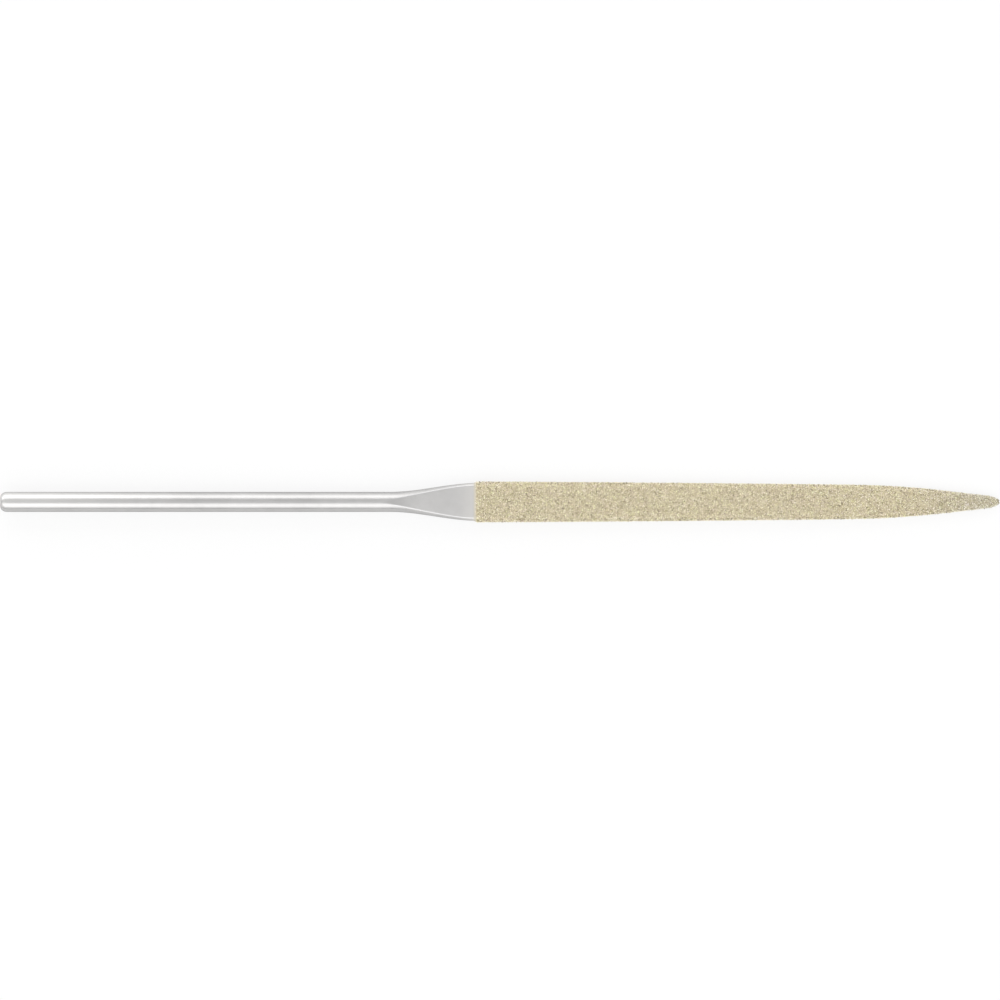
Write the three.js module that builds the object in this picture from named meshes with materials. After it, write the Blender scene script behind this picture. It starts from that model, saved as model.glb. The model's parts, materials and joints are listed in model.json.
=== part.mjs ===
// Flat pointed needle file with a diamond coat, 140 mm long over all.
// One steel forging is the handle, the neck and the core of the blade. A nickel bond is plated on the blade,
// and it holds one layer of diamond grains.
// Millimetres. +X runs from the butt of the handle to the point, and +Z out of the wide face.
// The origin is the centre of the flat end of the butt.

import * as THREE from "three";

// Handle, a plain round bar
const handleDiameter = 2.8;
const plainHandleLength = 54.6;
const buttRimLength = 0.95;
const buttFlatDiameter = 1.3;

// Neck, where the round bar is pressed flat and spreads sideways. The flats start a little ahead of it,
// and its sides stay as round as the bar for a little longer.
const neckLength = 12.8;
const flatsLead = 1.7;
const sidesDelay = 2.6;

// Blade core, the steel under the coat
const shoulderWidth = 5.34;
const bellyWidth = 4.3;
const sideBow = 0.06;
const bellyToPoint = 14.5;
const bellyBlendLength = 12.5;
const noseWidth = 1.09;
const noseLength = 1.6;
const bladeThickness = 1.2;
const noseThickness = 0.6;
const thinningLength = 27.8;
const noseRoundLength = 1.2;
const sideRadiusShare = 1.055;

// Coat, which covers the last of the neck and runs on past the point. The bond shows as a narrow bare band
// ahead of the first grains.
const coatedLength = 73.4;
const neckUnderCoat = 0.8;
const bondLead = 0.3;
const bondThickness = 0.08;
const gritHeight = 0.09;
const layerClearance = 0.015;

// How finely the round stretches are stepped
const sideSteps = 7;
const buttSteps = 4;
const handleSteps = 6;
const neckSteps = 14;
const shoulderSteps = 1;
const bladeSteps = 20;
const noseSteps = 6;
const rimSteps = 3;

// Each surface of the coat is the steel grown outwards by so much
const bondInside = layerClearance;
const bondOutside = bondInside + bondThickness;
const gritInside = bondOutside + layerClearance;
const gritOutside = gritInside + gritHeight;

const handleRadius = handleDiameter / 2;
const neckEnd = plainHandleLength + neckLength;
const flatsStart = plainHandleLength - flatsLead;
const sidesStart = plainHandleLength + sidesDelay;
const coatStart = neckEnd - neckUnderCoat;
const overallLength = coatStart + coatedLength;
const steelEnd = overallLength - gritOutside;
const bellyPlace = overallLength - bellyToPoint;
const bellyStart = bellyPlace - bellyBlendLength / 2;
const noseStart = steelEnd - noseLength;
const thinningStart = steelEnd - thinningLength;

// The sides of a flattened bar are arcs. On the round handle the two flats shrink to one step of its outline.
const pointsPerSide = 2 * sideSteps + 1;
const roundCreaseAngle = Math.PI / 2 / pointsPerSide;

function spread(from, to, count) {
  return Array.from({ length: count }, (_, step) => from + ((to - from) * (step + 1)) / count);
}

// 0 before the stretch and 1 after it, with a level start and end
function ease(x, from, to) {
  return THREE.MathUtils.smoothstep(x, from, to);
}

// The end of the blade is an ellipse: 0 at the point and 1 where the round part begins
function noseShare(x, end, length) {
  const fromEnd = Math.min(Math.max(end - x, 0), length);
  return Math.sqrt(1 - (1 - fromEnd / length) ** 2);
}

// Slightly bowed sides from the shoulder, a blended belly, then the straight taper of the point
function bladeHalfWidth(x) {
  const bodySlope = (shoulderWidth - bellyWidth) / 2 / (bellyPlace - neckEnd);
  const pointSlope = (bellyWidth - noseWidth) / 2 / (steelEnd - bellyPlace);
  const past = x - bellyStart;
  const blended = past < bellyBlendLength ? past ** 2 / (2 * bellyBlendLength) : past - bellyBlendLength / 2;
  const turn = past < 0 ? 0 : blended;
  const along = THREE.MathUtils.clamp((x - neckEnd) / (bellyPlace - neckEnd), 0, 1);
  const bow = sideBow * Math.sin(Math.PI * along);
  return shoulderWidth / 2 + bow - bodySlope * (x - neckEnd) - (pointSlope - bodySlope) * turn;
}

// Even thickness along the working faces, then thinner towards the point
function bladeHalfThickness(x) {
  const thinned = Math.max(x - thinningStart, 0) / thinningLength;
  return THREE.MathUtils.lerp(bladeThickness / 2, noseThickness / 2, thinned ** 2);
}

// One cross-section: its half width, half thickness and side radius, grown outwards by a layer
function sectionAt(x, growth) {
  const { lerp } = THREE.MathUtils;
  const flare = ease(x, plainHandleLength, neckEnd);
  const pressed = ease(x, flatsStart, neckEnd);
  const rounded = ease(x, sidesStart, neckEnd);
  const halfWidth = lerp(handleRadius, bladeHalfWidth(x), flare);
  const halfThickness = lerp(handleRadius * Math.cos(roundCreaseAngle), bladeHalfThickness(x), pressed);
  const sideRadius = lerp(handleRadius, bladeHalfThickness(x) * sideRadiusShare, rounded);
  const inPlan = noseShare(x, steelEnd + growth, noseLength + growth);
  const inSideView = noseShare(x, steelEnd + growth, noseRoundLength + growth);
  return {
    x,
    halfWidth: (halfWidth + growth) * inPlan,
    halfThickness: (halfThickness + growth) * inSideView,
    sideRadius: (sideRadius + growth) * inSideView,
  };
}

// The round butt has a small flat end, and its rim is a quarter of an ellipse
function buttSection(turn) {
  const radius = THREE.MathUtils.lerp(buttFlatDiameter / 2, handleRadius, Math.sin(turn));
  return {
    x: buttRimLength * (1 - Math.cos(turn)),
    halfWidth: radius,
    halfThickness: radius * Math.cos(roundCreaseAngle),
    sideRadius: radius,
  };
}

// Angles of a quarter turn in even steps, from 0 to the full quarter
function quarterTurns(steps) {
  return Array.from({ length: steps + 1 }, (_, step) => ((Math.PI / 2) * step) / steps);
}

// Two flats joined by two side arcs, as one closed loop of points
function ringOf(section) {
  const crease = Math.acos(section.halfThickness / section.sideRadius);
  const centre = section.halfWidth - section.sideRadius;
  const angles = Array.from({ length: pointsPerSide }, (_, step) => {
    return crease + ((Math.PI - 2 * crease) * step) / (pointsPerSide - 1);
  });
  return [1, -1].flatMap((side) => angles.map((angle) => {
    const across = centre + section.sideRadius * Math.sin(angle);
    const up = section.sideRadius * Math.cos(angle);
    return new THREE.Vector3(section.x, side * across, side * up);
  }));
}

// Places along the blade from the shoulder to where the nose turns in
const shoulderPlaces = [coatStart, ...spread(coatStart, neckEnd, shoulderSteps)];
const bladePlaces = [...shoulderPlaces, ...spread(neckEnd, noseStart, bladeSteps)];

function bladeRings(growth, after) {
  return bladePlaces.filter((x) => x > after).map((x) => ringOf(sectionAt(x, growth)));
}

// Rings that close round the nose, without the point itself
function noseRings(growth) {
  const reach = noseLength + growth;
  const turns = quarterTurns(noseSteps).slice(1, -1).reverse();
  return turns.map((turn) => ringOf(sectionAt(steelEnd + growth - reach * (1 - Math.cos(turn)), growth)));
}

// Triangles between neighbouring rings, collected in one list of corners
function stitch(corners, rings) {
  for (let row = 0; row + 1 < rings.length; row += 1) {
    const near = rings[row];
    const far = rings[row + 1];
    near.forEach((point, place) => {
      const next = (place + 1) % near.length;
      corners.push(point, far[place], near[next]);
      corners.push(near[next], far[place], far[next]);
    });
  }
}

// A fan from a ring to one point ahead of it
function closeAt(corners, ring, point) {
  ring.forEach((corner, place) => {
    corners.push(corner, point, ring[(place + 1) % ring.length]);
  });
}

function geometryOf(corners) {
  const geometry = new THREE.BufferGeometry().setFromPoints(corners);
  geometry.computeVertexNormals();
  return geometry;
}

function pointOf(growth) {
  return new THREE.Vector3(steelEnd + growth, 0, 0);
}

// The blank: butt, handle, neck, blade core and point in one closed skin
function steelBlankGeometry() {
  const barPlaces = [
    ...spread(buttRimLength, flatsStart, handleSteps),
    ...spread(flatsStart, coatStart, neckSteps).slice(0, -1),
  ];
  const rings = [
    ...quarterTurns(buttSteps).map((turn) => ringOf(buttSection(turn))),
    ...barPlaces.map((x) => ringOf(sectionAt(x, 0))),
    ...bladeRings(0, flatsStart),
    ...noseRings(0),
  ];
  const corners = [];
  closeAt(corners, [...rings[0]].reverse(), new THREE.Vector3());
  stitch(corners, rings);
  closeAt(corners, rings.at(-1), pointOf(0));
  return geometryOf(corners);
}

// One layer of the coat: a thimble over the blade, open at the shoulder, where its rim is a quarter round
function layerGeometry(start, inside, outside) {
  const rim = outside - inside;
  const rimRings = quarterTurns(rimSteps).map((turn) => {
    const x = start + rim * (1 - Math.cos(turn));
    return ringOf(sectionAt(x, inside + rim * Math.sin(turn)));
  });
  const outer = [...rimRings, ...bladeRings(outside, start + rim), ...noseRings(outside)];
  const inner = [rimRings[0], ...bladeRings(inside, start + rim), ...noseRings(inside)];
  const corners = [];
  stitch(corners, outer);
  closeAt(corners, outer.at(-1), pointOf(outside));
  stitch(corners, [...inner].reverse());
  closeAt(corners, [...inner.at(-1)].reverse(), pointOf(inside));
  return geometryOf(corners);
}

function satinSteel() {
  return new THREE.MeshStandardMaterial({ color: 0xc9c9cb, roughness: 0.28, metalness: 1 });
}

function platedNickel() {
  return new THREE.MeshStandardMaterial({ color: 0xa69f88, roughness: 0.5, metalness: 1 });
}

function diamondGrains() {
  return new THREE.MeshStandardMaterial({ color: 0xcdc2a5, roughness: 0.75, metalness: 0 });
}

function piece(name, geometry, material) {
  const mesh = new THREE.Mesh(geometry, material);
  mesh.name = name;
  return mesh;
}

const bondLayer = layerGeometry(coatStart - bondLead, bondInside, bondOutside);
const gritLayer = layerGeometry(coatStart, gritInside, gritOutside);

const needleFile = new THREE.Group();
needleFile.add(piece("steel_blank", steelBlankGeometry(), satinSteel()));
needleFile.add(piece("nickel_bond", bondLayer, platedNickel()));
needleFile.add(piece("diamond_grit", gritLayer, diamondGrains()));

export default needleFile;
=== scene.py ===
# %% [markdown]
# # Dressing a diamond needle file
# The real tool is one round steel bar. Its far end is forged flat, and that end is plated with nickel that
# holds a single layer of small diamonds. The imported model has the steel, the nickel and the layer of
# diamonds as three solids at their real size. This script keeps their sizes and gives them their looks: a
# smooth skin for the steel and the nickel, one small crystal after another for the coat, a finish for each
# surface, and the light of a plain studio.

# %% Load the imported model
import itertools
import json
import math
import random

import bmesh
import bpy
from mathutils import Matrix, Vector

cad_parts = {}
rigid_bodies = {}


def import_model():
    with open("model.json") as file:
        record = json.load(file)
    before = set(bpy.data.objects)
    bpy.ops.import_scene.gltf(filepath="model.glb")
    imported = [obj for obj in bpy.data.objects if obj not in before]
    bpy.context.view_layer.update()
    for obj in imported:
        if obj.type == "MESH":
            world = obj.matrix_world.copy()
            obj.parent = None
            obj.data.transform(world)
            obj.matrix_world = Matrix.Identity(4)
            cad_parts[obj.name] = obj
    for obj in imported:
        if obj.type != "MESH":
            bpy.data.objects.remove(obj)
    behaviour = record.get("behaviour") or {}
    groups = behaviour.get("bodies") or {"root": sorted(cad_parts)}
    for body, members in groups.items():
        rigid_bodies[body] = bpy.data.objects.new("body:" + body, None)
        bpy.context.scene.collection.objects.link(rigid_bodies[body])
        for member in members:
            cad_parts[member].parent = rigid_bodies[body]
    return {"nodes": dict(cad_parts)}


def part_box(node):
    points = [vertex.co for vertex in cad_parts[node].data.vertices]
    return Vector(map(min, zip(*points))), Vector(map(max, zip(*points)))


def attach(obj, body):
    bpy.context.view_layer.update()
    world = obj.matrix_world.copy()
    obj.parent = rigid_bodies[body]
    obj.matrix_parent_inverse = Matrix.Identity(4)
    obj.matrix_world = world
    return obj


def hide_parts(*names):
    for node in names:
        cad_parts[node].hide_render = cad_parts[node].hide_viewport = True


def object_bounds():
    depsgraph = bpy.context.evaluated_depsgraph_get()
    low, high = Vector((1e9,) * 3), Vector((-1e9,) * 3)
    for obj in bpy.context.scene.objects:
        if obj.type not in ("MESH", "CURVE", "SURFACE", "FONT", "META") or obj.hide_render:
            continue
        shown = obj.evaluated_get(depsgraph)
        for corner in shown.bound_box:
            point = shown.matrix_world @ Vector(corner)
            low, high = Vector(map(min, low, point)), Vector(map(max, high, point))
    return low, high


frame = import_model()
cad_low, cad_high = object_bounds()
MM = 0.001
print("CAD box in mm:", [round(side / MM, 2) for side in cad_high - cad_low])

# %% [markdown]
# ## The sizes of the file
# A maker's drawing of such a file needs few numbers. Where the steel ends, where each layer starts and how
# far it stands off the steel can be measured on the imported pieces, so they are. The sizes that give the
# curves between those places are written here once, in metres, and every skin below is made from them.

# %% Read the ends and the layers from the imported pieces
steel_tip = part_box("steel_blank")[1].x
bond_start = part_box("nickel_bond")[0].x
grit_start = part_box("diamond_grit")[0].x
bond_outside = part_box("nickel_bond")[1].x - steel_tip
coat_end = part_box("diamond_grit")[1].x
print("coat from", round(grit_start / MM, 2), "to", round(coat_end / MM, 2), "mm")

# %% Sizes that shape the skins
neck_length = 12.8 * MM
neck_under_coat = 0.8 * MM
belly_to_point = 14.5 * MM
neck_end = grit_start + neck_under_coat
shape = {
    "Handle Diameter": 2.8 * MM,
    "Neck Start": neck_end - neck_length,
    "Neck End": neck_end,
    "Flats Lead": 1.7 * MM,
    "Sides Delay": 2.6 * MM,
    "Shoulder Width": 5.34 * MM,
    "Belly Width": 4.3 * MM,
    "Side Bow": 0.06 * MM,
    "Belly Place": coat_end - belly_to_point,
    "Belly Blend": 12.5 * MM,
    "Nose Width": 1.09 * MM,
    "Nose Length": 1.6 * MM,
    "Nose Round": 1.2 * MM,
    "Blade Thickness": 1.2 * MM,
    "Nose Thickness": 0.6 * MM,
    "Thinning Length": 27.8 * MM,
    "Side Radius Share": 1.055,
    "Crease Radius": 0.32 * MM,
    "Steel Tip": steel_tip,
}
butt_rim = 0.95 * MM
butt_flat_radius = 0.65 * MM
layer_clearance = 0.015 * MM
rim_rise = 0.7 * MM

# %% [markdown]
# ## Writing a formula as nodes
# Every cross-section of the file follows one rule: two flats that are joined by two side arcs. A rule like
# this suits Geometry Nodes, where a grid is bent into the skin, but a formula of a hundred Math nodes is
# hard to read when each node is placed by hand. So a small class stands for a value in a tree. Adding or
# multiplying two such values adds the Math node, and the tree can be written like the formula.

# %% A value in a node tree
class Field:
    def __init__(self, tree, socket):
        self.tree = tree
        self.socket = socket

    def __add__(self, other):
        return calculate(self.tree, "ADD", self, other)

    def __sub__(self, other):
        return calculate(self.tree, "SUBTRACT", self, other)

    def __rsub__(self, other):
        return calculate(self.tree, "SUBTRACT", other, self)

    def __mul__(self, other):
        return calculate(self.tree, "MULTIPLY", self, other)

    def __truediv__(self, other):
        return calculate(self.tree, "DIVIDE", self, other)

    def __rtruediv__(self, other):
        return calculate(self.tree, "DIVIDE", other, self)

    def of(self, operation, *others):
        return calculate(self.tree, operation, self, *others)

    __radd__ = __add__
    __rmul__ = __mul__


def feed(tree, value, socket):
    """Links a Field, or writes a plain value, to a node's input."""
    if isinstance(value, Field):
        tree.links.new(value.socket, socket)
    else:
        socket.default_value = value


def calculate(tree, operation, *values):
    node = tree.nodes.new("ShaderNodeMath")
    node.operation = operation
    for socket, value in zip(node.inputs, values):
        feed(tree, value, socket)
    return Field(tree, node.outputs[0])


# %% Formulas that come up again and again
def clamped(value):
    return value.of("MAXIMUM", 0.0).of("MINIMUM", 1.0)


def blended(low, high, share):
    return low + (high - low) * share


def eased(x, start, end):
    """0 before the stretch and 1 after it, with a level start and end."""
    share = clamped((x - start) / (end - start))
    return share * share * (3.0 - 2.0 * share)


def nose_share(x, end, length):
    """The end of the blade is an ellipse: 0 at the point and 1 where the round part begins."""
    from_end = clamped((end - x) / length)
    return (1.0 - (1.0 - from_end) * (1.0 - from_end)).of("SQRT")


# %% Helpers that build a node tree
def pick(sockets, key):
    """A socket by its number, or by its name among those that the node's settings leave in use."""
    if isinstance(key, int):
        return sockets[key]
    return next(socket for socket in sockets if socket.name == key and socket.enabled)


def new_tree(name, kind, inputs, output):
    """A tree with named inputs, each given as (name, socket type, default value), and one output."""
    tree = bpy.data.node_groups.new(name, kind)
    for label, socket_type, default in inputs:
        socket = tree.interface.new_socket(label, in_out="INPUT", socket_type=socket_type)
        if default is not None:
            socket.default_value = default
    output_kind = "NodeSocketGeometry" if kind == "GeometryNodeTree" else "NodeSocketFloat"
    tree.interface.new_socket(output, in_out="OUTPUT", socket_type=output_kind)
    sources = tree.nodes.new("NodeGroupInput").outputs
    end = tree.nodes.new("NodeGroupOutput").inputs[output]
    return tree, {socket.name: Field(tree, socket) for socket in sources if socket.name}, end


def add_node(tree, kind, inputs=None, **settings):
    """Adds a node, sets its options and feeds its inputs."""
    node = tree.nodes.new(kind)
    for name, value in settings.items():
        setattr(node, name, value)
    for key, value in (inputs or {}).items():
        feed(tree, value, pick(node.inputs, key))
    return node


def out(node, key=0):
    return Field(node.id_data, pick(node.outputs, key))


def parts_of(tree, vector):
    """The X, Y and Z of a vector."""
    node = add_node(tree, "ShaderNodeSeparateXYZ", {0: vector})
    return out(node, "X"), out(node, "Y"), out(node, "Z")


# %% [markdown]
# ## One rule for every skin
# Half the width tapers in a slight bow from the shoulder to the belly, turns in a blend and runs straight
# to the nose, and half the thickness thins towards the point. The handle is the same rule with a round
# section. The flats begin as a narrow wedge in the round bar, as they do on a forged neck. The skin is a
# grid: one direction runs along the file, and the other runs once around it in even steps.

# %% Half width and half thickness of the blade
def blade_half_width(x, size):
    neck_end, belly = size["Neck End"], size["Belly Place"]
    body_slope = (size["Shoulder Width"] - size["Belly Width"]) / 2.0 / (belly - neck_end)
    point_slope = (size["Belly Width"] - size["Nose Width"]) / 2.0 / (size["Steel Tip"] - belly)
    blend = size["Belly Blend"]
    past = (x - (belly - blend / 2.0)).of("MAXIMUM", 0.0)
    rounded = past.of("MINIMUM", blend)
    turn = rounded * rounded / (2.0 * blend) + (past - rounded)
    bow = size["Side Bow"] * (clamped((x - neck_end) / (belly - neck_end)) * math.pi).of("SINE")
    tapered = size["Shoulder Width"] / 2.0 - body_slope * (x - neck_end)
    return tapered + bow - (point_slope - body_slope) * turn


def blade_half_thickness(x, size):
    length = size["Thinning Length"]
    thinned = clamped((x - (size["Steel Tip"] - length)) / length)
    return blended(size["Blade Thickness"] / 2.0, size["Nose Thickness"] / 2.0, thinned * thinned)


# %% The section at one place along the file
def section_at(x, growth, size):
    """Half width, half thickness and side radius, grown outwards by a layer."""
    radius = size["Handle Diameter"] / 2.0
    neck_start, neck_end = size["Neck Start"], size["Neck End"]
    thickness = blade_half_thickness(x, size)
    flare = eased(x, neck_start, neck_end)
    pressed = eased(x, neck_start - size["Flats Lead"], neck_end)
    turned = eased(x, neck_start + size["Sides Delay"], neck_end)
    tip = size["Steel Tip"] + growth
    in_plan = nose_share(x, tip, size["Nose Length"] + growth)
    in_side_view = nose_share(x, tip, size["Nose Round"] + growth)
    half_width = (blended(radius, blade_half_width(x, size), flare) + growth) * in_plan
    half_thickness = (blended(radius, thickness, pressed) + growth) * in_side_view
    blade_side = thickness * size["Side Radius Share"]
    side_radius = (blended(radius, blade_side, turned) + growth) * in_side_view
    return half_width, half_thickness, side_radius


# %% A point of the section's outline
least_side_radius = 1e-9
crease_share_of_side = 0.3


def outline_point(around, half_width, half_thickness, side_radius, crease_radius):
    """Across and up of the point, and its distance from the crease between flat and side. Around runs
    from 0 at the middle of the upper flat over the +Y side and the lower flat to 1. The crease is rounded,
    by an arc that touches the flat and the side."""
    side = side_radius.of("MAXIMUM", least_side_radius)
    crease = (side * crease_share_of_side).of("MINIMUM", crease_radius)
    centre = half_width - side
    inner = side - crease
    turn = ((half_thickness - crease) / inner).of("MINIMUM", 1.0).of("ARCCOSINE")
    flat = centre + inner * turn.of("SINE")
    rounded = crease * turn
    quarter = flat + rounded + side * (math.pi / 2 - turn)
    walked = (around * 4.0).of("PINGPONG", 1.0) * quarter
    on_crease = ((walked - flat) / crease).of("MAXIMUM", 0.0).of("MINIMUM", turn)
    on_side = (walked - flat - rounded).of("MAXIMUM", 0.0) / side
    from_centre, from_crease = turn + on_side, on_crease + on_side
    across = centre + inner * from_centre.of("SINE") + crease * from_crease.of("SINE")
    up = inner * from_centre.of("COSINE") + crease * from_crease.of("COSINE")
    on_flat = (flat - walked).of("MAXIMUM", 0.0)
    right = 1.0 - 2.0 * around.of("GREATER_THAN", 0.5)
    upper = 1.0 - 2.0 * (around * 2.0).of("PINGPONG", 1.0).of("GREATER_THAN", 0.5)
    distance = (walked - flat - rounded / 2.0).of("ABSOLUTE")
    return (across - on_flat) * right, up * upper, distance


# %% A node group that bends a grid into the skin
weld_distance = 1e-7


def build_skin_group():
    tree, size, end = new_tree("file_skin", "GeometryNodeTree", [
        *((name, "NodeSocketFloat", value) for name, value in shape.items()),
        ("Start", "NodeSocketFloat", 0.0),
        ("Rim Length", "NodeSocketFloat", 0.0),
        ("Rim Growth", "NodeSocketFloat", 0.0),
        ("Growth", "NodeSocketFloat", 0.0),
        ("Closed Start", "NodeSocketFloat", 0.0),
        ("Rows", "NodeSocketInt", 200),
        ("Points Around", "NodeSocketInt", 100),
    ], "Mesh")
    grid = add_node(tree, "GeometryNodeMeshGrid", {
        "Size X": 1.0, "Size Y": 1.0, "Vertices X": size["Rows"], "Vertices Y": size["Points Around"] + 1,
    })
    grid_x, grid_y, _ = parts_of(tree, out(add_node(tree, "GeometryNodeInputPosition")))
    along, around = grid_x + 0.5, grid_y + 0.5
    # The first rows close the start, the next ones round its rim, and the last ones round the nose
    cap_share, rim_share, nose_from = 0.012, 0.04, 0.94
    cap = clamped(along / cap_share)
    rim_turn = clamped((along - cap_share) / (rim_share - cap_share)) * (math.pi / 2)
    bar = clamped((along - rim_share) / (nose_from - rim_share))
    nose_turn = clamped((along - nose_from) / (1.0 - nose_from)) * (math.pi / 2)
    growth = blended(size["Rim Growth"], size["Growth"], rim_turn.of("SINE"))
    bar_start = size["Start"] + size["Rim Length"]
    bar_length = size["Steel Tip"] - size["Nose Length"] - bar_start
    nose_reach = size["Nose Length"] + size["Growth"]
    rim = size["Rim Length"] * (1.0 - rim_turn.of("COSINE"))
    x = size["Start"] + rim + bar_length * bar + nose_reach * nose_turn.of("SINE")
    across, up, from_crease = outline_point(around, *section_at(x, growth, size), size["Crease Radius"])
    opening = blended(1.0, cap, size["Closed Start"])
    position = add_node(tree, "ShaderNodeCombineXYZ", {0: x, 1: across * opening, 2: up * opening})
    marked = add_node(tree, "GeometryNodeStoreNamedAttribute", {
        "Geometry": out(grid), "Name": "crease_mm", "Value": from_crease / MM,
    })
    bent = add_node(tree, "GeometryNodeSetPosition", {
        "Geometry": out(marked), "Position": out(position),
    })
    joined = add_node(tree, "GeometryNodeMergeByDistance", {
        "Geometry": out(bent), "Distance": weld_distance,
    })
    feed(tree, out(joined), end)
    print("file_skin has", len(tree.nodes), "nodes")
    return tree


skin_group = build_skin_group()


# %% Helpers that place the skin in a tree and end the tree
def add_skin(tree, inputs):
    return add_node(tree, "GeometryNodeGroup", inputs, node_tree=skin_group)


def finish_tree(tree, geometry, material, end, smooth):
    """Makes instances real, smooths the shading of a skin and sets the material."""
    ready = out(add_node(tree, "GeometryNodeRealizeInstances", {"Geometry": geometry}))
    if smooth:
        ready = out(add_node(tree, "GeometryNodeSetShadeSmooth", {"Geometry": ready}))
    painted = add_node(tree, "GeometryNodeSetMaterial", {"Geometry": ready, "Material": material})
    feed(tree, out(painted), end)


# %% [markdown]
# ## From a tree to a plain mesh
# A tree is put on an object as a modifier. Its inputs are set before the object is first evaluated, then
# the evaluated result is copied to a plain mesh and the modifier goes, so that nothing is left to
# recalculate.

# %% Run a tree and keep its mesh
def grow_mesh(name, tree, values):
    grown = bpy.data.objects.new(name, bpy.data.meshes.new(name))
    bpy.context.collection.objects.link(grown)
    modifier = grown.modifiers.new(tree.name, "NODES")
    modifier.node_group = tree
    for item in tree.interface.items_tree:
        if item.in_out == "INPUT" and item.name in values:
            modifier[item.identifier] = values[item.name]
    graph = bpy.context.evaluated_depsgraph_get()
    mesh = bpy.data.meshes.new_from_object(grown.evaluated_get(graph))
    grown.modifiers.remove(modifier)
    grown.data = mesh
    return grown


def measure(piece):
    work = bmesh.new()
    work.from_mesh(piece.data)
    triangles = sum(len(face.verts) - 2 for face in work.faces)
    open_edges = sum(1 for edge in work.edges if len(edge.link_faces) != 2)
    volume = work.calc_volume(signed=True) / MM**3
    work.free()
    print(f"{piece.name}: {triangles} triangles, {open_edges} open edges, {volume:.1f} cubic mm")


def fit(piece, node):
    """The piece rides on the only body and stands for its CAD node, which is hidden."""
    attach(piece, "root")
    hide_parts(node)


# %% [markdown]
# ## Colours as they are seen
# Colours are easiest to choose as they look on a screen, in steps from 0 to 255, but a shader calculates
# with the amount of light. One helper turns the first into the second.

# %% Screen colour to shader colour
def seen(red, green, blue):
    def linear(step):
        share = step / 255
        return share / 12.92 if share <= 0.04045 else ((share + 0.055) / 1.055) ** 2.4

    return linear(red), linear(green), linear(blue), 1.0


# %% [markdown]
# ## Effects that several finishes share
# Drawn and ground steel has fine lines that all run the same way, plated nickel and diamond have a fine
# grain, and handled metal has faint uneven patches. Each effect is a shader group that puts out a value
# between 0 and 1, so that every material can use it at its own scale and strength.

# %% Helpers for shader groups, which read a place in millimetres
def place_in_mm(tree):
    coordinates = add_node(tree, "ShaderNodeTexCoord")
    mapping = add_node(tree, "ShaderNodeMapping", {
        "Vector": out(coordinates, "Object"), "Scale": (1 / MM, 1 / MM, 1 / MM),
    })
    return out(mapping)


def noise(tree, place, scale, detail, roughness=0.5):
    return out(add_node(tree, "ShaderNodeTexNoise", {
        "Vector": place, "Scale": scale, "Detail": detail, "Roughness": roughness,
    }))


# %% Lines along the file
def build_drawn_lines():
    tree, size, end = new_tree("drawn_lines", "ShaderNodeTree", [
        ("Lines per mm", "NodeSocketFloat", 14.0),
        ("Line Length mm", "NodeSocketFloat", 9.0),
    ], "Height")
    along, across, up = parts_of(tree, place_in_mm(tree))
    stretched = add_node(tree, "ShaderNodeCombineXYZ", {
        0: along / size["Line Length mm"],
        1: across * size["Lines per mm"],
        2: up * size["Lines per mm"],
    })
    feed(tree, noise(tree, out(stretched), scale=1.0, detail=3.0, roughness=0.62), end)
    return tree


# %% Patches left by handling
def build_patches():
    tree, size, end = new_tree("patches", "ShaderNodeTree", [
        ("Patches per mm", "NodeSocketFloat", 0.25),
        ("Softness", "NodeSocketFloat", 0.25),
    ], "Mask")
    cloud = noise(tree, place_in_mm(tree), size["Patches per mm"], detail=4.0, roughness=0.6)
    feed(tree, eased(cloud, 0.5 - size["Softness"], 0.5 + size["Softness"]), end)
    return tree


# %% Fine grain: pebbles with finer dust over them
def build_fine_grain():
    tree, size, end = new_tree("fine_grain", "ShaderNodeTree", [
        ("Grains per mm", "NodeSocketFloat", 12.0),
        ("Dust per Grain", "NodeSocketFloat", 2.5),
        ("Grain Share", "NodeSocketFloat", 0.7),
        ("Dust Share", "NodeSocketFloat", 0.5),
    ], "Height")
    place = place_in_mm(tree)
    pebbles = add_node(tree, "ShaderNodeTexVoronoi", {"Vector": place, "Scale": size["Grains per mm"]})
    dust = noise(tree, place, size["Grains per mm"] * size["Dust per Grain"], detail=3.0)
    height = out(pebbles, "Distance") * size["Grain Share"] + dust * size["Dust Share"]
    feed(tree, clamped(height), end)
    return tree


drawn_lines = build_drawn_lines()
patches = build_patches()
fine_grain = build_fine_grain()


# %% Helpers that start a material and place an effect in it
def new_material(name, constants):
    """A material whose Principled shader has its constant inputs set on its own sockets."""
    material = bpy.data.materials.new(name)
    material.use_nodes = True
    shader = material.node_tree.nodes["Principled BSDF"]
    for key, value in constants.items():
        shader.inputs[key].default_value = value
    return material, material.node_tree, shader


def effect(tree, group, inputs=None):
    return out(add_node(tree, "ShaderNodeGroup", inputs, node_tree=group))


def attribute(tree, name):
    return out(add_node(tree, "ShaderNodeAttribute", attribute_name=name), "Fac")


def bump(tree, height, depth, under=None):
    """A Bump node whose relief is so many metres deep, on top of another one's normal."""
    node = add_node(tree, "ShaderNodeBump", {"Strength": 1.0, "Distance": depth, "Height": height})
    if under:
        feed(tree, under, node.inputs["Normal"])
    return out(node)


def mix_colours(tree, share, low, high):
    inputs = {"Factor": share, "A": low, "B": high}
    return out(add_node(tree, "ShaderNodeMix", inputs, data_type="RGBA"), "Result")
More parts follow.
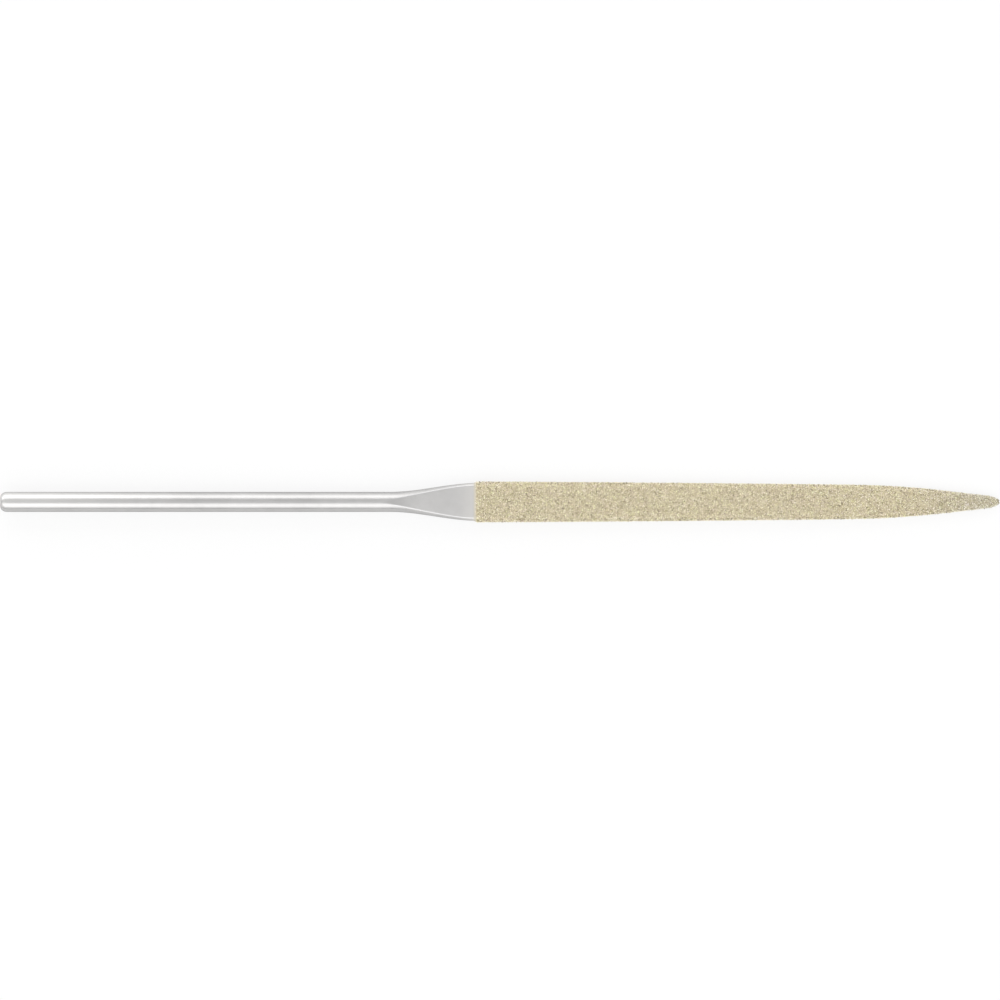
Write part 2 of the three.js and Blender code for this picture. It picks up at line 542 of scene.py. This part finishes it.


# %% [markdown]
# ## The steel blank
# The handle is bright drawn bar with a satin finish. The dies that press the neck flat leave it more matt,
# so it mirrors the room less and takes more light from the sides. The finish is a metal whose roughness
# grows along the neck. Fine lines along the file tilt the normals a little, and faint patches vary the
# colour and the roughness. The creases where flat meets side rub first and are a touch brighter and
# smoother. A painted sheen makes the colour lighter towards the butt end, on its +Y side, and a last
# trace of nickel makes the steel paler next to the coat.

# %% Where the steel's finish changes, in millimetres, and how rough it is
neck_from = shape["Neck Start"] / MM
neck_to = shape["Neck End"] / MM
matt_after = 4.0
pale_before, pale_past = 4.2, 0.2
# The painted sheen fades out over this length from the butt, and rises across the handle between these two
# places
sheen_length = 28.0
sheen_from, sheen_to = -1.1, 0.2
crease_wear = 0.1
drawn_roughness = 0.27
extra_where_pressed = 0.2


# %% Satin steel
def build_satin_steel():
    material, tree, shader = new_material("satin_steel", {
        "Metallic": 1.0, "Specular Tint": (0.6, 0.6, 0.6, 1.0),
    })
    lines = effect(tree, drawn_lines)
    mask = effect(tree, patches)
    worn = clamped(1.3 - attribute(tree, "crease_mm") / crease_wear)
    blotches = effect(tree, patches, {"Patches per mm": 0.9, "Softness": 0.3})
    clouds = 0.6 * mask + 0.4 * blotches
    along, across, _ = parts_of(tree, place_in_mm(tree))
    washed = eased(along, neck_to - pale_before, neck_to + pale_past)
    # Painted sheen: the colour is lighter towards the butt end and on its +Y side
    painted_sheen = clamped(1.0 - along / sheen_length) * eased(across, sheen_from, sheen_to)
    steel = mix_colours(tree, clouds, seen(193, 192, 191), seen(205, 204, 203))
    steel = mix_colours(tree, painted_sheen, steel, seen(222, 221, 219))
    steel = mix_colours(tree, washed, steel, seen(213, 211, 208))
    colour = mix_colours(tree, worn * 0.35, steel, seen(214, 214, 215))
    feed(tree, colour, shader.inputs["Base Color"])
    pressed = eased(along, neck_from, neck_from + matt_after)
    matt = extra_where_pressed * pressed * (1.0 - 0.8 * worn)
    satin = drawn_roughness + matt + 0.05 * mask + 0.04 * lines
    feed(tree, satin, shader.inputs["Roughness"])
    line_depth, grain_depth = 0.0012 * MM, 0.0006 * MM
    lined = bump(tree, lines, line_depth)
    feed(tree, bump(tree, effect(tree, fine_grain), grain_depth, lined), shader.inputs["Normal"])
    return material


satin_steel = build_satin_steel()


# %% The steel's skin
def build_steel_tree():
    tree, size, end = new_tree("steel_skin", "GeometryNodeTree", [
        ("Butt Rim", "NodeSocketFloat", butt_rim),
        ("Butt Flat Radius", "NodeSocketFloat", butt_flat_radius),
        ("Handle Diameter", "NodeSocketFloat", shape["Handle Diameter"]),
        ("Rows", "NodeSocketInt", 440),
        ("Points Around", "NodeSocketInt", 216),
        ("Finish", "NodeSocketMaterial", None),
    ], "Mesh")
    skin = add_skin(tree, {
        "Handle Diameter": size["Handle Diameter"],
        "Rim Length": size["Butt Rim"],
        "Rim Growth": size["Butt Flat Radius"] - size["Handle Diameter"] / 2.0,
        "Closed Start": 1.0,
        "Rows": size["Rows"],
        "Points Around": size["Points Around"],
    })
    finish_tree(tree, out(skin), size["Finish"], end, smooth=True)
    return tree


steel = grow_mesh("steel_file_blank", build_steel_tree(), {"Finish": satin_steel})
measure(steel)
fit(steel, "steel_blank")

# %% [markdown]
# ## The nickel bond
# The blade hangs in a plating bath with the diamonds packed round it, and the growing nickel grips them.
# The deposit is matt and warm grey, and rises from a thin rim to its full depth. It shows as a narrow
# bare band ahead of the crystals. Between them it is darker in random patches, which is painted shade of
# the crevices, and darker still towards the point, where dust of filing stays. Its skin is the same rule at
# two distances from the steel, joined at the rim into one closed sleeve.

# %% Where the coat's finish changes, in millimetres
crystals_from = grit_start / MM
crystals_to = steel_tip / MM
band_blur = 0.1
# The crystals are darker from this far before the end of the steel to this far past it
darkening_before, darkening_past = 0.5, 0.1


def point_dust(along):
    """0 up to the belly of the blade and 1 at the point."""
    return eased(along, shape["Belly Place"] / MM, crystals_to)


# %% Plated nickel
def build_plated_nickel():
    material, tree, shader = new_material("plated_nickel", {"Metallic": 1.0})
    grain = effect(tree, fine_grain, {"Grains per mm": 15.0})
    mask = effect(tree, patches, {"Patches per mm": 1.5})
    along, _, _ = parts_of(tree, place_in_mm(tree))
    among_crystals = eased(along, crystals_from - band_blur, crystals_from + band_blur)
    # Painted shade: between the crystals the nickel is darker, in random patches, for the shaded crevices
    dust_and_crevice_shade = mix_colours(tree, 0.5 * mask + 0.5 * grain, seen(187, 177, 150), seen(217, 207, 182))
    dust_and_crevice_shade = mix_colours(tree, 0.6 * point_dust(along), dust_and_crevice_shade, seen(176, 168, 145))
    colour = mix_colours(tree, among_crystals, seen(214, 209, 197), dust_and_crevice_shade)
    feed(tree, colour, shader.inputs["Base Color"])
    feed(tree, 0.6 + 0.14 * grain, shader.inputs["Roughness"])
    grain_depth = 0.014 * MM
    feed(tree, bump(tree, grain, grain_depth), shader.inputs["Normal"])
    return material


plated_nickel = build_plated_nickel()


# %% The nickel's sleeve
def build_sleeve_tree():
    tree, size, end = new_tree("nickel_sleeve", "GeometryNodeTree", [
        ("Start", "NodeSocketFloat", bond_start),
        ("Inside", "NodeSocketFloat", layer_clearance),
        ("Outside", "NodeSocketFloat", bond_outside),
        ("Rim Rise", "NodeSocketFloat", rim_rise),
        ("Rows Outside", "NodeSocketInt", 640),
        ("Rows Inside", "NodeSocketInt", 100),
        ("Points Around", "NodeSocketInt", 128),
        ("Finish", "NodeSocketMaterial", None),
    ], "Mesh")
    shared = {
        "Start": size["Start"],
        "Rim Growth": size["Inside"],
        "Points Around": size["Points Around"],
    }
    outer = add_skin(tree, shared | {
        "Rim Length": size["Rim Rise"],
        "Growth": size["Outside"],
        "Rows": size["Rows Outside"],
    })
    inner = add_skin(tree, shared | {"Growth": size["Inside"], "Rows": size["Rows Inside"]})
    turned = add_node(tree, "GeometryNodeFlipFaces", {"Mesh": out(inner)})
    both_skins = add_node(tree, "GeometryNodeJoinGeometry")
    tree.links.new(turned.outputs[0], both_skins.inputs[0])
    tree.links.new(outer.outputs[0], both_skins.inputs[0])
    closed = add_node(tree, "GeometryNodeMergeByDistance", {
        "Geometry": out(both_skins), "Distance": weld_distance,
    })
    finish_tree(tree, out(closed), size["Finish"], end, smooth=True)
    return tree


nickel = grow_mesh("nickel_bond_sleeve", build_sleeve_tree(), {"Finish": plated_nickel})
measure(nickel)
fit(nickel, "nickel_bond")

# %% [markdown]
# ## The crystals
# A medium needle file has crystals of about 0.15 mm, some thirty to the square millimetre, and no two are
# alike. Drawing them in a bump texture would leave the outline of the coat smooth. Instead a few blocky
# shapes are made once, and Geometry Nodes sets one on each of tens of thousands of points, turned and
# sized at random. Poisson disks keep the points apart, as packed crystals keep each other apart. Plating
# grows fastest on edges, so along them the points lie closer and the crystals stand a little higher. At
# the point the crystals are greyer, with the dust of filing ground in.

# %% Straw tints, from the few darkest crystals to the palest
tints = [
    (0.0, seen(122, 108, 81)),
    (0.11, seen(173, 160, 130)),
    (0.24, seen(217, 206, 175)),
    (0.6, seen(238, 229, 199)),
    (1.0, seen(250, 245, 222)),
]


def tint_ramp(tree):
    ramp = add_node(tree, "ShaderNodeValToRGB", {0: attribute(tree, "tint")})
    elements = ramp.color_ramp.elements
    for place, colour in tints[1:-1]:
        elements.new(place).color = colour
    elements[0].color = tints[0][1]
    elements[-1].color = tints[-1][1]
    return out(ramp, "Color")


# %% Finish of the crystals
def build_diamond_grains():
    material, tree, shader = new_material("diamond_grains", {"Metallic": 0.0, "IOR": 1.9})
    along, _, _ = parts_of(tree, place_in_mm(tree))
    dulled = point_dust(along)
    # The crystals are darker over the last half millimetre of the point
    point_darkening = eased(along, crystals_to - darkening_before, crystals_to + darkening_past)
    warmth = attribute(tree, "warmth")
    cloud = effect(tree, patches, {"Patches per mm": 0.8})
    tinged = add_node(tree, "ShaderNodeHueSaturation", {
        "Hue": 0.455 + 0.06 * warmth + 0.03 * cloud,
        "Saturation": 0.72 + 0.5 * warmth - 0.3 * dulled,
        "Value": 1.0 - 0.03 * dulled - 0.2 * point_darkening,
        "Color": tint_ramp(tree),
    })
    grain = effect(tree, fine_grain, {"Grains per mm": 30.0})
    feed(tree, out(tinged), shader.inputs["Base Color"])
    feed(tree, 0.3 + 0.25 * grain, shader.inputs["Roughness"])
    grain_depth = 0.003 * MM
    feed(tree, bump(tree, grain, grain_depth), shader.inputs["Normal"])
    return material


diamond_grains = build_diamond_grains()


# %% A few blocky crystal shapes
least_pull, most_pull = 0.65, 1.25
nearest_corner, farthest_corner = 0.44, 0.56


def build_crystal(name, draw):
    """A cube with corners pulled about and one more point, wrapped in flat facets."""
    work = bmesh.new()
    for corner in itertools.product((-1, 1), repeat=3):
        pulled = Vector(side * draw.uniform(least_pull, most_pull) for side in corner)
        work.verts.new(pulled.normalized() * draw.uniform(nearest_corner, farthest_corner))
    extra = Vector(draw.uniform(-1, 1) for _ in range(3))
    work.verts.new(extra.normalized() * farthest_corner)
    hull = bmesh.ops.convex_hull(work, input=work.verts)
    inside = [item for item in hull["geom_interior"] if isinstance(item, bmesh.types.BMVert)]
    bmesh.ops.delete(work, geom=inside, context="VERTS")
    bmesh.ops.recalc_face_normals(work, faces=work.faces)
    mesh = bpy.data.meshes.new(name)
    work.to_mesh(mesh)
    work.free()
    return bpy.data.objects.new(name, mesh)


crystal_count = 10
crystal_draw = random.Random(7)
crystal_shapes = bpy.data.collections.new("crystal_shapes")
for number in range(crystal_count):
    crystal_shapes.objects.link(build_crystal(f"crystal_shape_{number}", crystal_draw))


# %% A random value for each crystal, and a vector made longer or shorter
def random_value(tree, low, high, seed, kind="FLOAT"):
    inputs = {"Min": low, "Max": high, "Seed": seed}
    return out(add_node(tree, "FunctionNodeRandomValue", inputs, data_type=kind), "Value")


def scaled(tree, vector, factor):
    return out(add_node(tree, "ShaderNodeVectorMath", {0: vector, "Scale": factor}, operation="SCALE"))


# %% Seats for the crystals, spread over the nickel
def spread_seats(tree, size):
    surface = add_skin(tree, {
        "Start": size["Start"],
        "Rim Length": size["Rim Rise"],
        "Rim Growth": layer_clearance,
        "Growth": size["Bond Surface"],
        "Rows": 300,
        "Points Around": 96,
    })
    spot = size["Spacing"] * size["Spacing"]
    return add_node(tree, "GeometryNodeDistributePointsOnFaces", {
        "Mesh": out(surface),
        "Distance Min": size["Spacing"],
        "Density Max": size["Tries per Seat"] / spot,
        "Seed": size["Seed"],
    }, distribute_method="POISSON")


# %% Which seats are outside the region that is grown
def is_elsewhere(tree, size, facing_up):
    """Regions 0 and 1 are the upper face, 2 and 3 the lower face, 4 and 5 the two edges."""
    x, y, _ = parts_of(tree, out(add_node(tree, "GeometryNodeInputPosition")))
    edge = facing_up.of("ABSOLUTE").of("LESS_THAN", size["Edge Below"])
    lower = facing_up.of("LESS_THAN", 0.0)
    far = x.of("GREATER_THAN", size["Half Way"])
    left = y.of("LESS_THAN", 0.0)
    region = blended(2.0 * lower + far, 4.0 + left, edge)
    return (region - size["Region"]).of("ABSOLUTE").of("GREATER_THAN", 0.5)


# %% The tree that sets the crystals
def build_grain_tree():
    tree, size, end = new_tree("set_crystals", "GeometryNodeTree", [
        ("Start", "NodeSocketFloat", grit_start),
        ("Bond Surface", "NodeSocketFloat", bond_outside),
        ("Rim Rise", "NodeSocketFloat", rim_rise),
        ("Half Way", "NodeSocketFloat", (grit_start + steel_tip) / 2),
        ("Spacing", "NodeSocketFloat", 0.136 * MM),
        ("Tries per Seat", "NodeSocketFloat", 5.0),
        ("Crystal Size", "NodeSocketFloat", 0.168 * MM),
        ("Smallest", "NodeSocketFloat", 0.62),
        ("Largest", "NodeSocketFloat", 1.24),
        ("Least Stretched", "NodeSocketVector", (0.7, 0.7, 0.7)),
        ("Most Stretched", "NodeSocketVector", (1.22, 1.22, 1.22)),
        ("Least Raised", "NodeSocketFloat", 0.06),
        ("Most Raised", "NodeSocketFloat", 0.28),
        ("Edge Extra", "NodeSocketFloat", 0.14),
        ("Edge Below", "NodeSocketFloat", 0.7),
        ("Shapes", "NodeSocketCollection", crystal_shapes),
        ("Region", "NodeSocketInt", 0),
        ("Seed", "NodeSocketInt", 11),
        ("Finish", "NodeSocketMaterial", None),
    ], "Mesh")
    seats = spread_seats(tree, size)
    normal = out(seats, "Normal")
    _, _, facing_up = parts_of(tree, normal)
    # A crystal's middle is over the nickel by a share of its own size, so that each one is held
    grown = size["Crystal Size"] * random_value(tree, size["Smallest"], size["Largest"], seed=7)
    on_face = random_value(tree, size["Least Raised"], size["Most Raised"], seed=1)
    stand = on_face + size["Edge Extra"] * (1.0 - facing_up.of("ABSOLUTE"))
    raised = add_node(tree, "GeometryNodeSetPosition", {
        "Geometry": out(seats, "Points"), "Offset": scaled(tree, normal, grown * stand),
    })
    kept = add_node(tree, "GeometryNodeDeleteGeometry", {
        "Geometry": out(raised), "Selection": is_elsewhere(tree, size, facing_up),
    })
    shapes = add_node(tree, "GeometryNodeCollectionInfo", {
        "Collection": size["Shapes"], "Separate Children": True, "Reset Children": True,
    })
    no_turn, full_turn = (0.0, 0.0, 0.0), (math.tau, math.tau, math.tau)
    stretch = random_value(
        tree, size["Least Stretched"], size["Most Stretched"], seed=3, kind="FLOAT_VECTOR"
    )
    crystals = add_node(tree, "GeometryNodeInstanceOnPoints", {
        "Points": out(kept),
        "Instance": out(shapes),
        "Pick Instance": True,
        "Instance Index": random_value(tree, 0, crystal_count - 1, seed=4, kind="INT"),
        "Rotation": random_value(tree, no_turn, full_turn, seed=2, kind="FLOAT_VECTOR"),
        "Scale": scaled(tree, stretch, grown),
    })
    for seed, name in ((5, "tint"), (6, "warmth")):
        crystals = add_node(tree, "GeometryNodeStoreNamedAttribute", {
            "Geometry": out(crystals), "Name": name, "Value": random_value(tree, 0.0, 1.0, seed),
        }, domain="INSTANCE")
    finish_tree(tree, out(crystals), size["Finish"], end, smooth=False)
    return tree


grain_tree = build_grain_tree()

# %% Grow the coat, one region after another
faces = ["grains_upper_heel", "grains_upper_point", "grains_lower_heel", "grains_lower_point"]
edges = ["grains_right_edge", "grains_left_edge"]
edge_spacing = 0.118 * MM
for number, name in enumerate(faces + edges):
    closer = {"Spacing": edge_spacing} if name in edges else {}
    grains = grow_mesh(name, grain_tree, closer | {"Region": number, "Finish": diamond_grains})
    measure(grains)
    fit(grains, "diamond_grit")

for single in list(crystal_shapes.objects):
    bpy.data.objects.remove(single)
bpy.data.collections.remove(crystal_shapes)

# %% [markdown]
# ## The floor
# The file doesn't lie level: the round handle is thicker than the blade, so it rests on the handle just
# behind the neck and on the blade's belly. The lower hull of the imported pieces, seen from the side, has one
# edge below the centre of mass, for which the middle of the steel's skin is close enough. The floor runs
# along that edge, and the file stays where the model has it.

# %% Find the line that the file rests on
def lower_hull(points):
    """The lower convex chain of points (x, z), from left to right."""
    chain = []
    for x, z in sorted(points):
        while len(chain) > 1:
            (x0, z0), (x1, z1) = chain[-2:]
            if (x1 - x0) * (z - z0) > (x - x0) * (z1 - z0):
                break
            chain.pop()
        chain.append((x, z))
    return chain


side_view = [(v.co.x, v.co.z) for node in frame["nodes"].values() for v in node.data.vertices]
steel_work = bmesh.new()
steel_work.from_mesh(steel.data)
mass_x = sum(f.calc_center_median().x * f.calc_area() for f in steel_work.faces)
mass_x /= sum(f.calc_area() for f in steel_work.faces)
steel_work.free()
hull = lower_hull(side_view)
rest_from, rest_to = next((a, b) for a, b in zip(hull, hull[1:]) if a[0] <= mass_x < b[0])
slope = (rest_to[1] - rest_from[1]) / (rest_to[0] - rest_from[0])
touches = [round(end[0] / MM, 1) for end in (rest_from, rest_to)]
print("rests at x in mm:", touches, "tilted by", round(math.degrees(slope), 2), "degrees")


# %% [markdown]
# ## White paper with a light shadow
# The floor is a sheet of white paper. Plain paper this close to the light keeps a shadow that is darker
# than a studio wants, so 0.8 of what the camera sees of it is plain white and the rest is the paper's
# shading. In polished metal and glass only 0.3 is plain white, so that the paper's own shading draws the
# edges of the handle there. Light that bounces off the paper on to the file is that of plain paper.

# %% Paper floor
white_to_camera = 0.8
white_in_mirrors = 0.3


def build_floor_paper():
    material, tree, shader = new_material("floor_paper", {"Roughness": 0.9, "Specular IOR Level": 0.0})
    fibres = effect(tree, fine_grain, {"Grains per mm": 3.0})
    paper = mix_colours(tree, fibres, seen(236, 236, 236), seen(241, 241, 241))
    feed(tree, paper, shader.inputs["Base Color"])
    path = add_node(tree, "ShaderNodeLightPath")
    mirrored = out(path, "Is Glossy Ray").of("MAXIMUM", out(path, "Is Transmission Ray"))
    white = add_node(tree, "ShaderNodeEmission", {"Strength": 1.0})
    share = white_to_camera * out(path, "Is Camera Ray") + white_in_mirrors * mirrored
    mixed = add_node(tree, "ShaderNodeMixShader", {0: share})
    tree.links.new(shader.outputs[0], mixed.inputs[1])
    tree.links.new(white.outputs[0], mixed.inputs[2])
    tree.links.new(mixed.outputs[0], tree.nodes["Material Output"].inputs["Surface"])
    material.cycles.emission_sampling = "NONE"
    return material


floor_reach = 2.0
corners = [(x, y) for x in (-floor_reach, floor_reach) for y in (-floor_reach, floor_reach)]
floor_mesh = bpy.data.meshes.new("floor")
floor_mesh.from_pydata(
    [(x, y, rest_from[1] + slope * (x - rest_from[0])) for x, y in corners], [], [(0, 2, 3, 1)]
)
floor_mesh.materials.append(build_floor_paper())
floor = bpy.data.objects.new("floor", floor_mesh)
bpy.context.collection.objects.link(floor)

# %% [markdown]
# ## The light
# Round polished metal shows its surroundings as long bands, so the light is read off the handle in the
# picture. It has a bright band from a soft box on each side, a grey stripe between them where nothing but
# the room is seen, and a darker line along both edges. Two wide soft boxes give the bands, and a weak strip
# beside the near one lets its band fade out as it does there. A grey world gives the rest. It darkens
# towards the horizon, and the edges of the handle mirror that and the floor.

# %% Soft boxes over the two long sides
middle = (cad_low + cad_high) / 2
box_distance = 0.6
box_length = 3.0
watts_per_square_metre = 4  # at which a soft box is seen with a radiance of 1


def soft_box(name, lean, spread, radiance):
    """Lean is the angle from straight above, positive towards -Y, and spread is the angle it fills."""
    lamp = bpy.data.lights.new(name, "AREA")
    lamp.shape = "RECTANGLE"
    lamp.size = box_length
    lamp.size_y = 2 * box_distance * math.tan(math.radians(spread) / 2)
    lamp.energy = watts_per_square_metre * lamp.size * lamp.size_y * radiance
    light = bpy.data.objects.new(name, lamp)
    turn = math.radians(lean)
    light.location = (middle.x, -math.sin(turn) * box_distance, math.cos(turn) * box_distance)
    light.rotation_euler = (turn, 0.0, 0.0)
    light.visible_camera = False
    bpy.context.collection.objects.link(light)
    print(f"{name}: {lamp.size_y:.2f} m wide, {lamp.energy:.2f} W")


soft_box("soft_box_near", lean=41, spread=45, radiance=0.8)
soft_box("soft_box_near_fringe", lean=68.5, spread=10, radiance=0.35)
soft_box("soft_box_far", lean=-67, spread=46, radiance=0.9)

# %% Grey room, darker towards the horizon
horizon_grey, overhead_grey = 0.5, 0.78
overhead_from = 0.7
world = bpy.data.worlds.new("room")
bpy.context.scene.world = world
world.use_nodes = True
sky = world.node_tree
direction = add_node(sky, "ShaderNodeTexCoord")
_, _, height = parts_of(sky, out(direction, "Generated"))
grey = blended(horizon_grey, overhead_grey, eased(height, 0.0, overhead_from))
room = sky.nodes["Background"]
room.inputs["Color"].default_value = (1.0, 1.0, 1.0, 1.0)
feed(sky, grey, room.inputs["Strength"])
print("room from", horizon_grey, "at the horizon to", overhead_grey, "overhead")

# %% [markdown]
# ## The camera
# The picture looks straight down on the wide face, and the file fills its width. A long lens keeps the near
# and far sides at one scale. Its height follows from the width that has to fit in the frame.

# %% Camera straight above
picture_side = 1000
butt_column, tip_column, axis_row = 0.3, 1000.0, 501.9
pixel = (cad_high.x - cad_low.x) / (tip_column - butt_column)
lens = bpy.data.cameras.new("camera")
lens.lens = 200
lens.sensor_width = 36
camera = bpy.data.objects.new("camera", lens)
camera.location = (
    cad_low.x + (picture_side / 2 - butt_column) * pixel,
    (axis_row - picture_side / 2) * pixel,
    picture_side * pixel * lens.lens / lens.sensor_width,
)
bpy.context.collection.objects.link(camera)
bpy.context.scene.camera = camera
bpy.context.scene.view_settings.view_transform = "Standard"
print("camera at", [round(part, 4) for part in camera.location])
